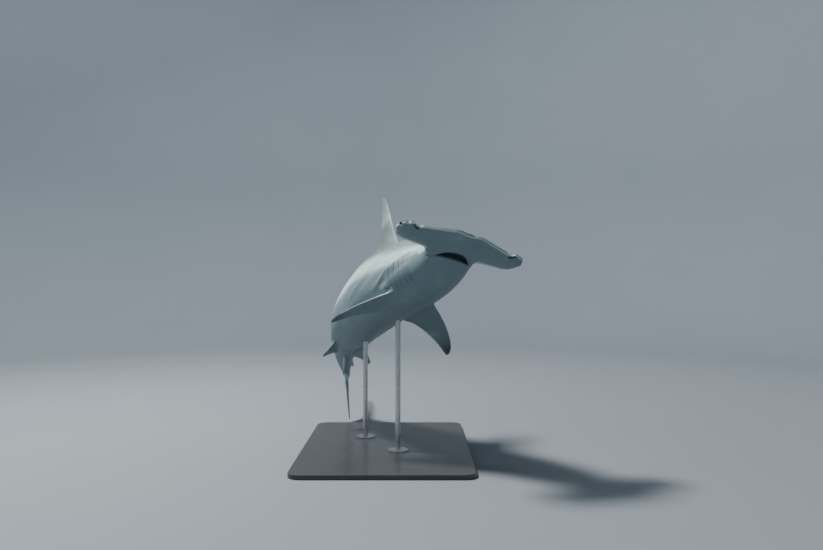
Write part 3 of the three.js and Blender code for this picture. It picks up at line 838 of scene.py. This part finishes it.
firstDorsal = midlineFin(
    rows=[
        (0, 0.262, 0.37, 0.0145),
        (0.05, 0.268, 0.4, 0.0132),
        (0.12, 0.275, 0.402, 0.0118),
        (0.17, 0.28, 0.385, 0.011),
        (0.3, 0.293, 0.364, 0.0095),
        (0.5, 0.312, 0.36, 0.0075),
        (0.7, 0.33, 0.3635, 0.0055),
        (0.88, 0.348, 0.37, 0.0035),
        (0.97, 0.36, 0.3745, 0.0022),
        (1, 0.366, 0.3745, 0.0015),
    ],
    reach=0.17,
    base=0.087,
    up=1,
    onPlace=stiffAt(0.31),
    fillet=0.022,
)
secondDorsal = midlineFin(
    rows=[
        (0, 0.602, 0.645, 0.006),
        (0.15, 0.606, 0.675, 0.005),
        (0.32, 0.611, 0.661, 0.0045),
        (0.6, 0.62, 0.648, 0.0035),
        (0.9, 0.632, 0.643, 0.002),
        (1, 0.637, 0.642, 0.0015),
    ],
    reach=0.028,
    base=0.036,
    up=1,
    onPlace=onBody,
    fillet=0.01,
)
anal = midlineFin(
    rows=[
        (0, 0.585, 0.636, 0.007),
        (0.12, 0.591, 0.658, 0.006),
        (0.25, 0.598, 0.646, 0.005),
        (0.5, 0.611, 0.636, 0.004),
        (0.8, 0.625, 0.638, 0.0025),
        (1, 0.637, 0.643, 0.0015),
    ],
    reach=0.036,
    base=0.028,
    up=-1,
    onPlace=onBody,
    fillet=0.01,
)


# Paired fins: each flat in its own plane, set on the trunk by a root and three angles in degrees
def pairedFin(rows, reach, root, station, dip, sweep, nose, side, fillet):
    dip, sweep, nose = (math.radians(value) for value in (dip, sweep, nose))
    out = np.array([0, side * math.cos(dip), -math.sin(dip)])
    chord = np.array([1.0, 0, 0])
    face = np.cross(chord, out) * side
    turn = turnAbout(out * side * nose) @ turnAbout(face * -side * sweep)
    chord, out, face = turn @ chord, turn @ out, turn @ face
    start = np.array([root[0], side * root[1], -root[2]]) * length
    onStation = stiffAt(station)

    def place(s, half, height):
        s, half, height = np.broadcast_arrays(s, half, height)
        local = start + s[..., None] * chord + half[..., None] * face + height[..., None] * out
        return onStation(local[..., 0], local[..., 1], local[..., 2])

    return {"rows": rows, "reach": reach * length, "place": place, "fillet": fillet}


pectoral = {
    "rows": [
        (0, 0, 0.07, 0.0125),
        (0.05, 0.002, 0.093, 0.0115),
        (0.13, 0.005, 0.086, 0.0105),
        (0.24, 0.01, 0.08, 0.009),
        (0.4, 0.0185, 0.0775, 0.0075),
        (0.6, 0.032, 0.0785, 0.0055),
        (0.8, 0.05, 0.082, 0.0035),
        (0.94, 0.0675, 0.0865, 0.0022),
        (1, 0.08, 0.0885, 0.0015),
    ],
    "reach": 0.134,
    "root": (0.205, 0.047, 0.048),
    "station": 0.235,
    "fillet": 0.02,
}
pelvic = {
    "rows": [
        (0, 0, 0.05, 0.008),
        (0.08, 0.003, 0.078, 0.0065),
        (0.2, 0.007, 0.073, 0.006),
        (0.5, 0.018, 0.06, 0.0045),
        (0.8, 0.0295, 0.0515, 0.003),
        (0.94, 0.036, 0.0485, 0.002),
        (1, 0.04, 0.0465, 0.0015),
    ],
    "reach": 0.046,
    "root": (0.516, 0.029, 0.038),
    "station": 0.53,
    "fillet": 0.012,
}


# Tail fin: a long upper lobe with a notch near its tip, and a short lower lobe
def lobe(rows, reach, back, up, rise, fillet):
    angle = math.radians(rise)
    run, lift, flip = math.cos(angle), math.sin(angle), math.copysign(1, rise)

    def place(chord, half, height):
        s = back * length + run * height + flip * lift * chord
        u = up * length + lift * height - flip * run * chord
        return onBody(s, half, u)

    return {"rows": rows, "reach": reach * length, "place": place, "fillet": fillet}


upperLobe = lobe(
    rows=[
        (0, -0.024, 0.03, 0.016),
        (0.1, -0.023, 0.036, 0.0125),
        (0.22, -0.024, 0.034, 0.0095),
        (0.4, -0.026, 0.018, 0.0075),
        (0.6, -0.026, 0.007, 0.0055),
        (0.76, -0.024, 0.003, 0.0045),
        (0.81, -0.022, -0.003, 0.004),
        (0.86, -0.019, 0.006, 0.0035),
        (0.93, -0.014, 0.009, 0.0025),
        (0.985, -0.004, 0.007, 0.0018),
        (1, 0.001, 0.005, 0.0015),
    ],
    reach=0.285,
    back=0.7,
    up=0.003,
    rise=33,
    fillet=0.012,
)
lowerLobe = lobe(
    rows=[
        (0, -0.018, 0.085, 0.012),
        (0.2, -0.016, 0.06, 0.009),
        (0.4, -0.012, 0.036, 0.007),
        (0.6, -0.007, 0.022, 0.005),
        (0.8, -0.001, 0.0135, 0.0035),
        (0.94, 0.004, 0.0095, 0.002),
        (1, 0.007, 0.009, 0.0015),
    ],
    reach=0.135,
    back=0.7,
    up=0,
    rise=-55,
    fillet=0.012,
)


finMarks = {
    "hind": (0.86, 1),  # places back between which the hind edge grows dusky
    "hindDusk": 0.5,
    "tipDusk": 0.6,
    "pairedTip": 0.5,
    "pairedDusk": 0.8,
    "turn": 0.003,  # how near the fin's middle plane the back's colour gives way
}


def plainMarks(shade, duskFrom):
    def marks(c, v, y):
        hind = ease(c, *finMarks["hind"]) * finMarks["hindDusk"]
        tip = finMarks["tipDusk"] * ease(v, duskFrom, 1)
        return marksOf(shade, np.maximum(tip, hind), 0)

    return marks


# The underside of a paired fin takes the belly's painted shade, with a dusky tip
def pairedMarks(c, v, y):
    shade = 0.5 + 0.5 * np.clip(y / finMarks["turn"], -1, 1)
    return marksOf(shade, finMarks["pairedDusk"] * ease(v, finMarks["pairedTip"], 1), 0)


makeFin("first dorsal fin", firstDorsal, plainMarks(0.9, 0.6))
makeFin("second dorsal fin", secondDorsal, plainMarks(0.95, 0.5))
makeFin("anal fin", anal, plainMarks(0.6, 0.4))
for side, angles in ((-1, (7.5, 38, 12)), (1, (24.6, 0.4, 7))):
    made = pairedFin(**pectoral, dip=angles[0], sweep=angles[1], nose=angles[2], side=side)
    makeFin("pectoral fin", made, pairedMarks)
for side, angles in ((-1, (47, 13, 4)), (1, (32, 11, 0))):
    made = pairedFin(**pelvic, dip=angles[0], sweep=angles[1], nose=angles[2], side=side)
    makeFin("pelvic fin", made, pairedMarks)
makeFin("upper tail lobe", upperLobe, plainMarks(0.95, 0.6))
makeFin("lower tail lobe", lowerLobe, plainMarks(0.85, 0.5))


def linked(obj):
    bpy.context.scene.collection.objects.link(obj)
    return obj


def smoothMesh(name, points, faces):
    mesh = bpy.data.meshes.new(name)
    mesh.from_pydata(points.tolist(), [], faces)
    mesh.update()
    mesh.polygons.foreach_set("use_smooth", np.ones(len(mesh.polygons), bool))
    return mesh


def makeSkin():
    points, faces, places, marks = [], [], [], []
    count = 0
    for part in shells:
        points.append(part[0])
        faces += [[i + count for i in face] for face in part[1]]
        places.append(part[2])
        marks.append(part[3])
        count += len(part[0])
    mesh = smoothMesh("sharkSkin", np.concatenate(points), faces)
    for name, parts in (("place", places), ("marks", marks)):
        attribute = mesh.attributes.new(name, "FLOAT_VECTOR", "POINT")
        attribute.data.foreach_set("vector", np.concatenate(parts).astype(np.float32).ravel())
    return linked(bpy.data.objects.new("sharkSkin", mesh))


sharkSkin = makeSkin()
print("skin joined with", len(sharkSkin.data.polygons), "faces")


# Shader maths written as Python: a wire wraps a socket, and its sums and products add nodes
class Wire:
    def __init__(self, finish, socket):
        self.finish, self.socket = finish, socket

    def maths(self, operation, a, b):
        return self.finish.make("Math", {"operation": operation}, {0: a, 1: b})

    def __add__(self, other):
        return self.maths("ADD", self, other)

    def __radd__(self, other):
        return self.maths("ADD", other, self)

    def __sub__(self, other):
        return self.maths("SUBTRACT", self, other)

    def __rsub__(self, other):
        return self.maths("SUBTRACT", other, self)

    def __mul__(self, other):
        return self.maths("MULTIPLY", self, other)

    def __rmul__(self, other):
        return self.maths("MULTIPLY", other, self)

    def __pow__(self, other):
        return self.maths("POWER", self, other)


class Finish:
    def __init__(self, name, **constants):
        self.material = bpy.data.materials.new(name)
        self.material.use_nodes = True
        self.nodes, self.links = self.material.node_tree.nodes, self.material.node_tree.links
        self.shader = self.nodes["Principled BSDF"]
        self.feed(self.shader, constants)

    def feed(self, node, sockets):
        for key, value in sockets.items():
            if isinstance(value, Wire):
                self.links.new(value.socket, node.inputs[key])
            else:
                node.inputs[key].default_value = value

    def make(self, kind, settings=None, sockets=None, output=0):
        node = self.nodes.new("ShaderNode" + kind)
        for key, value in (settings or {}).items():
            if key == "stops":
                ramp = node.color_ramp
                while len(ramp.elements) < len(value):
                    ramp.elements.new(1)
                for element, (place, colour) in zip(ramp.elements, value):
                    element.position, element.color = place, (*colour, 1)
            else:
                setattr(node, key, value)
        self.feed(node, sockets or {})
        return Wire(self, node.outputs[output])

    def mix(self, factor, a, b, blend="MIX"):
        settings = {"data_type": "RGBA", "blend_type": blend}
        a, b = (value if isinstance(value, Wire) else (*value, 1) for value in (a, b))
        return self.make("Mix", settings, {0: factor, 6: a, 7: b}, 2)

    def noise(self, scale, detail=3, roughness=0.5, vector=None):
        sockets = {"Scale": scale, "Detail": detail, "Roughness": roughness}
        if vector is not None:
            sockets["Vector"] = vector
        return self.make("TexNoise", None, sockets, "Fac")

    def cells(self, vector, scale, randomness):
        sockets = {"Vector": vector, "Scale": scale, "Randomness": randomness}
        return self.make("TexVoronoi", None, sockets, "Distance")

    def ease(self, value, low, high, least=0, most=1):
        sockets = {0: value, 1: low, 2: high, 3: least, 4: most}
        return self.make("MapRange", {"interpolation_type": "SMOOTHSTEP"}, sockets)

    def bump(self, height, distance, strength=1, normal=None):
        sockets = {"Height": height, "Distance": distance, "Strength": strength}
        if normal is not None:
            sockets["Normal"] = normal
        return self.make("Bump", None, sockets, "Normal")


skinLook = {
    # all skin colours carry a painted blue-green cast of the light
    "back": (0.165, 0.225, 0.228),
    "backDark": (0.085, 0.118, 0.125),
    "backFleck": (0.3, 0.31, 0.28),
    # painted light and shade: a pale flank as if lit, a dark belly as if shaded, though white in
    # life
    "litFlank": (0.5, 0.655, 0.65),
    "belly": (0.175, 0.25, 0.275),
    "bellyGrey": (0.13, 0.19, 0.215),
    "speck": (0.09, 0.1, 0.1),
    "spot": (0.1, 0.11, 0.11),
    "dusk": (0.06, 0.07, 0.075),
    # painted shade in the mouth, nostrils, eye sockets and gill slits
    "inside": (0.05, 0.062, 0.07),
    "scratch": (0.6, 0.66, 0.65),
    "boundary": (0.52, 1.0),  # where the back's colour starts and is full, by height up the side
    "underside": (0.0, 0.25),
    "stretch": (0.35, 1, 1),  # the broad pattern makes long streaks that run with the body
    "broad": 7,  # the patterns' scales, by the metre
    "middling": 38,
    "fine": 190,
    "grain": 1100,
    "spots": 48,
    "pores": 135,
    "scratchTurn": (0.3, 0.35, 0.5),
    "scratches": (5, 60, 60),
    "rough": (0.5, 0.62),
    "relief": 0.0009,
    "reliefStrength": 0.55,
}


def skinFinish():
    look = skinLook
    constants = {"Specular IOR Level": 0.45, "Coat Roughness": 0.3, "Coat Weight": 0.03}
    skin = Finish("sharkSkin", **constants)
    place = skin.make("Attribute", {"attribute_name": "place"}, None, "Vector")
    marks = skin.make("Attribute", {"attribute_name": "marks"}, None, "Vector")
    shade, dusk, inner = (
        skin.make("SeparateXYZ", None, {0: marks}, name) for name in ("X", "Y", "Z")
    )
    multiply = {"operation": "MULTIPLY"}
    streaked = skin.make("VectorMath", multiply, {0: place, 1: look["stretch"]})
    broad = skin.noise(look["broad"], 4, 0.55, streaked)
    middling = skin.noise(look["middling"], 5, 0.6, place)
    fine = skin.noise(look["fine"], 4, 0.65, place)
    grain = skin.noise(look["grain"], 2, 0.5, place)
    line = shade + (broad - 0.5) * 0.42 + (middling - 0.5) * 0.16 + (fine - 0.5) * 0.07
    mask = skin.ease(line, *look["boundary"])
    # side: where the belly's painted shade gives way to the flank's painted light
    side = skin.ease(line, *look["underside"])
    back = skin.mix(skin.ease(broad, 0.35, 0.7), look["back"], look["backDark"])
    back = skin.mix(skin.ease(middling, 0.45, 0.75, 0, 0.35), back, look["backFleck"])
    grey = skin.ease(middling, 0.4, 0.75, 0, 0.4)
    belly = skin.mix(grey, look["belly"], look["bellyGrey"])
    colour = skin.mix(mask, skin.mix(side, belly, look["litFlank"]), back)
    colour = skin.mix(skin.ease(fine, 0.35, 0.7, 0, 0.14), colour, look["speck"])
    spots = skin.cells(place, look["spots"], 1)
    colour = skin.mix(skin.ease(spots, 0.12, 0.04, 0, 0.22), colour, look["spot"])
    # pores in clusters under the snout and round the mouth
    s, u = (skin.make("SeparateXYZ", None, {0: place}, name) for name in ("X", "Z"))
    pores = skin.ease(skin.cells(place, look["pores"], 0.8), 0.2, 0.1)
    pores = pores * skin.ease(s, 0.27, 0.2) * skin.ease(u, -0.005, -0.02)
    pores = pores * skin.ease(middling, 0.42, 0.58)
    colour = skin.mix(pores * 0.55, colour, look["spot"])
    # old scratches: short pale lines that slant across the back and flanks
    turned = {"Vector": place, "Rotation": look["scratchTurn"]}
    slanted = skin.make("VectorRotate", {"rotation_type": "EULER_XYZ"}, turned)
    slanted = skin.make("VectorMath", multiply, {0: slanted, 1: look["scratches"]})
    scratch = skin.ease(skin.cells(slanted, 1, 1), 0.09, 0.03) * skin.ease(broad, 0.5, 0.62)
    colour = skin.mix(scratch * 0.4, colour, look["scratch"])
    dusky = skin.ease(dusk + (middling - 0.5) * 0.5, 0.25, 0.9, 0, 0.85)
    colour = skin.mix(dusky, colour, look["dusk"])
    # painted shade darkens the hollows
    colour = skin.mix(skin.ease(inner, 0.05, 0.8), colour, look["inside"])
    rough = skin.ease(middling, 0.3, 0.7, *look["rough"]) + (fine - 0.5) * 0.12 - inner * 0.12
    height = grain * 0.3 + fine * 0.8 + middling * 1.6
    height = height - skin.ease(spots, 0.1, 0.0) * 0.5 - pores * 0.8 - scratch * 0.4
    relief = skin.bump(height, look["relief"], look["reliefStrength"])
    skin.feed(skin.shader, {"Base Color": colour, "Roughness": rough, "Normal": relief})
    return skin.material


sharkSkin.data.materials.append(skinFinish())
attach(sharkSkin, "root")
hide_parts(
    *[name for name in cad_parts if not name.startswith(("eye_", "stand_"))],
)
print("skin finished")


# Eyeballs: a clear bulge over a dark pupil in a thin grey-gold ring
eyeLook = {
    "pupil": (0.004, 0.004, 0.005),
    "iris": (0.09, 0.08, 0.06),
    "irisLight": (0.2, 0.185, 0.15),
    "rim": (0.05, 0.05, 0.055),
    "pupilEdge": (0.44, 0.5),  # shares of the eye's radius, from its axis
    "irisEdge": (0.66, 0.76),
}


def eyeFinish():
    look = eyeLook
    constants = {"Coat Weight": 1.0, "Coat Roughness": 0.03, "Specular IOR Level": 0.6}
    glass = Finish("sharkEye", **constants)
    place = glass.make("TexCoord", None, None, "Object")
    x, y = (glass.make("SeparateXYZ", None, {0: place}, name) for name in ("X", "Y"))
    away = (x * x + y * y) ** 0.5 * (1 / eye["radius"])
    grain = glass.noise(420, 3, 0.6, place)
    iris = glass.mix(grain, look["iris"], look["irisLight"])
    pupil = glass.ease(away + (grain - 0.5) * 0.04, *look["pupilEdge"])
    colour = glass.mix(pupil, look["pupil"], iris)
    colour = glass.mix(glass.ease(away, *look["irisEdge"]), colour, look["rim"])
    glass.feed(glass.shader, {"Base Color": colour, "Roughness": 0.12 + (grain - 0.5) * 0.06})
    return glass.material


def makeEye(side, name, material):
    polar = math.pi * (np.arange(1, eye["rings"]) / eye["rings"])[:, None]
    around = 2 * math.pi * np.arange(eye["sides"])[None] / eye["sides"]
    facing = np.cos(polar)
    bulge = eye["bulge"] * ease(facing, 0.6, 1) * (1 - 0.5 * ease(facing, 0.9, 1))
    radius = eye["radius"] * (1 + bulge)
    ring = radius * np.sin(polar)
    points = np.broadcast_arrays(ring * np.cos(around), ring * np.sin(around), radius * facing)
    flat, faces = closedRings(np.stack(points, -1))
    flat[-2], flat[-1] = (0, 0, radius[0, 0]), (0, 0, -eye["radius"])
    mesh = smoothMesh(name, flat, outwards(flat, faces))
    mesh.materials.append(material)
    ball = linked(bpy.data.objects.new(name, mesh))
    centre = onBody(eyeBack, side * eyeAside, -wing["drop"])
    look = spineTurns[0] @ np.array([lookAhead, side * lookAside, 0])
    turn = Vector(look.tolist()).to_track_quat("Z", "Y").to_matrix().to_4x4()
    ball.matrix_world = Matrix.Translation(centre.tolist()) @ turn
    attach(ball, "root")
    return ball


eyeMaterial = eyeFinish()
for side, node in ((-1, "eye_right"), (1, "eye_left")):
    ball = makeEye(side, "eyeball_" + node[4:], eyeMaterial)
    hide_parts(node)
print("eyes made")

# Stand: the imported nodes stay, with lacquered board and brushed steel
standLook = {
    "board": (0.035, 0.038, 0.042),
    "boardCloud": (0.055, 0.058, 0.062),
    "boardSpeck": (0.14, 0.14, 0.14),
    "steel": (0.44, 0.45, 0.46),
    "steelLight": (0.6, 0.61, 0.62),
    "brushing": (1, 1, 0.02),  # its lines run up the rods
}


def boardFinish():
    look = standLook
    board = Finish("lacqueredBoard", **{"Coat Weight": 0.3, "Coat Roughness": 0.12})
    place = board.make("TexCoord", None, None, "Object")
    cloud = board.noise(6, 4, 0.6, place)
    grain = board.noise(240, 4, 0.6, place)
    colour = board.mix(board.ease(cloud, 0.3, 0.7, 0, 0.5), look["board"], look["boardCloud"])
    colour = board.mix(board.ease(grain, 0.6, 0.8, 0, 0.2), colour, look["boardSpeck"])
    rough = 0.38 + (cloud - 0.5) * 0.14 + (grain - 0.5) * 0.08
    relief = board.bump(grain, 0.0002, 0.3)
    board.feed(board.shader, {"Base Color": colour, "Roughness": rough, "Normal": relief})
    return board.material


def steelFinish():
    look = standLook
    steel = Finish("brushedSteel", Metallic=1.0)
    place = steel.make("TexCoord", None, None, "Object")
    stretched = {0: place, 1: look["brushing"]}
    brushed = steel.make("VectorMath", {"operation": "MULTIPLY"}, stretched)
    lines = steel.noise(900, 3, 0.6, brushed)
    cloud = steel.noise(14, 3, 0.5, place)
    colour = steel.mix(lines, look["steel"], look["steelLight"])
    rough = 0.28 + (lines - 0.5) * 0.12 + (cloud - 0.5) * 0.1
    relief = steel.bump(lines, 0.0001, 0.4)
    steel.feed(steel.shader, {"Base Color": colour, "Roughness": rough, "Normal": relief})
    return steel.material


boardMaterial, steelMaterial = boardFinish(), steelFinish()
for name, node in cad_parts.items():
    if name.startswith("stand_"):
        node.data.materials.clear()
        node.data.materials.append(boardMaterial if name == "stand_base" else steelMaterial)
print("stand finished")

# Studio: a round pale floor that sweeps up into a wall, one strong light high up and a wash
# of six on the wall
studio = {
    "paper": (0.235, 0.262, 0.29),
    "paperLight": (0.255, 0.282, 0.31),
    "middle": 0.4,  # radius of the one flat face in the middle
    "flat": 6.0,  # radius of the level floor
    "flatRings": 8,
    "sweep": 2.5,
    "sweepRings": 20,
    "wallTop": 11.0,
    "sides": 128,
    "sky": (0.6, 0.72, 0.85),
    "skyStrength": 0.06,
    "key": {
        "place": (-2.35, 0.35, 5.45),
        "aim": (0.0, 0.1, 1.0),
        "size": 0.8,
        "watts": 560,
        "colour": (1.0, 0.99, 0.965),
    },
    "wash": {
        "count": 6,
        "out": 1.5,
        "height": 8.5,
        "aimOut": 8.5,
        "aimHeight": 2.4,
        "size": 3.0,
        "watts": 190,
        "spread": 110,
        "colour": (0.86, 0.94, 1.0),
    },
}


def addLamp(name, place, aim, look):
    data = bpy.data.lights.new(name, "AREA")
    data.size, data.energy, data.color = look["size"], look["watts"], look["colour"]
    data.spread = math.radians(look.get("spread", 180))
    lamp = linked(bpy.data.objects.new(name, data))
    lamp.location = place
    lamp.rotation_euler = (Vector(aim) - Vector(place)).to_track_quat("-Z", "Y").to_euler()


def makeFloor():
    flat, sweep, sides = studio["flat"], studio["sweep"], studio["sides"]
    profile = [(out, 0) for out in np.linspace(studio["middle"], flat, studio["flatRings"])]
    for angle in np.linspace(0, math.pi / 2, studio["sweepRings"])[1:]:
        profile.append((flat + sweep * math.sin(angle), sweep * (1 - math.cos(angle))))
    profile.append((flat + sweep, studio["wallTop"]))
    radius, height = np.array(profile).T[:, :, None]
    around = 2 * math.pi * np.arange(sides) / sides
    points = np.broadcast_arrays(radius * np.cos(around), radius * np.sin(around), height)
    faces = ringFaces(len(profile), sides).tolist() + [list(range(sides))[::-1]]
    mesh = smoothMesh("studioFloor", np.stack(points, -1).reshape(-1, 3), faces)
    paper = Finish("floorPaper", Roughness=0.9)
    place = paper.make("TexCoord", None, None, "Object")
    colour = paper.mix(paper.noise(1.2, 3, 0.5, place), studio["paper"], studio["paperLight"])
    paper.feed(paper.shader, {"Base Color": colour})
    mesh.materials.append(paper.material)
    linked(bpy.data.objects.new("studioFloor", mesh))


def makeLights():
    key, wash = studio["key"], studio["wash"]
    addLamp("key", key["place"], key["aim"], key)
    for i in range(wash["count"]):
        angle = 2 * math.pi * (i + 0.5) / wash["count"]
        x, y = math.cos(angle), math.sin(angle)
        place = (x * wash["out"], y * wash["out"], wash["height"])
        aim = (x * wash["aimOut"], y * wash["aimOut"], wash["aimHeight"])
        addLamp("wash" + str(i), place, aim, wash)
    world = bpy.data.worlds.new("studio")
    bpy.context.scene.world = world
    world.use_nodes = True
    background = world.node_tree.nodes["Background"]
    background.inputs["Color"].default_value = (*studio["sky"], 1)
    background.inputs["Strength"].default_value = studio["skyStrength"]


makeFloor()
makeLights()
print("studio lit")
